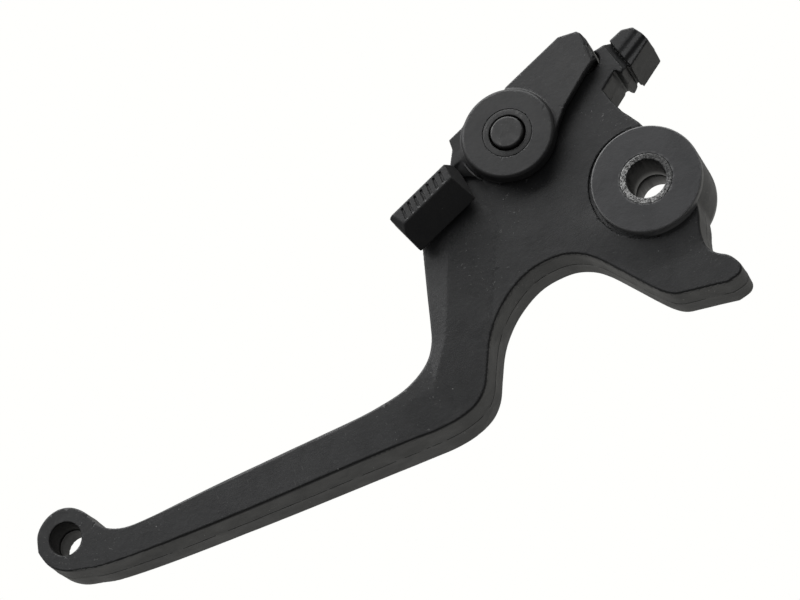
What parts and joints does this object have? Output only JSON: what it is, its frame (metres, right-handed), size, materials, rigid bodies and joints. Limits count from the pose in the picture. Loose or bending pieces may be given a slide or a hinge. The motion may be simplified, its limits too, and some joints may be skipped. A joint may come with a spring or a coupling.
{
  "type": "hand lever with parking latch",
  "caption": "Moulded hand lever on a pivot boss, with a finger blade, a tip eye and a sprung thumb latch that straddles it.",
  "frame": {"origin": "on the pivot bore's axis, halfway between the two boss faces", "axes": "+Z along the pivot bore towards the latch side, +X from the blade's tip towards the pivot, +Y away from the blade's lower edge"},
  "size_m": [0.1946, 0.0847, 0.0368],
  "materials": {
    "lever_nylon": "moulded glass-filled nylon, fine grain, light scuffs",
    "latch_nylon": "moulded glass-filled nylon, fine grain",
    "sleeve": "hard plastic sleeve, its end face scuffed pale",
    "bush": "smooth matt",
    "pin": "moulded pin, slightly smoother",
    "spring_wire": "drawn spring wire"
  },
  "bodies": {
    "lever": {"lever_body": "lever_nylon", "pivot_sleeve_front": "sleeve", "pivot_sleeve_rear": "sleeve", "latch_pin": "pin", "latch_spring": "spring_wire"},
    "latch": {"park_latch": "latch_nylon", "hub_bush": "bush"}
  },
  "joints": [
    {"name": "latch_swing", "type": "hinge", "parent": "lever", "child": "latch", "pos_m": [-0.0279, 0.0268, 0], "axis": [0, 0, 1], "range_deg": [0, 28], "stiffness_Nm_per_rad": 0.02, "springref_deg": -34.38, "deforming": ["latch_spring"]}
  ]
}
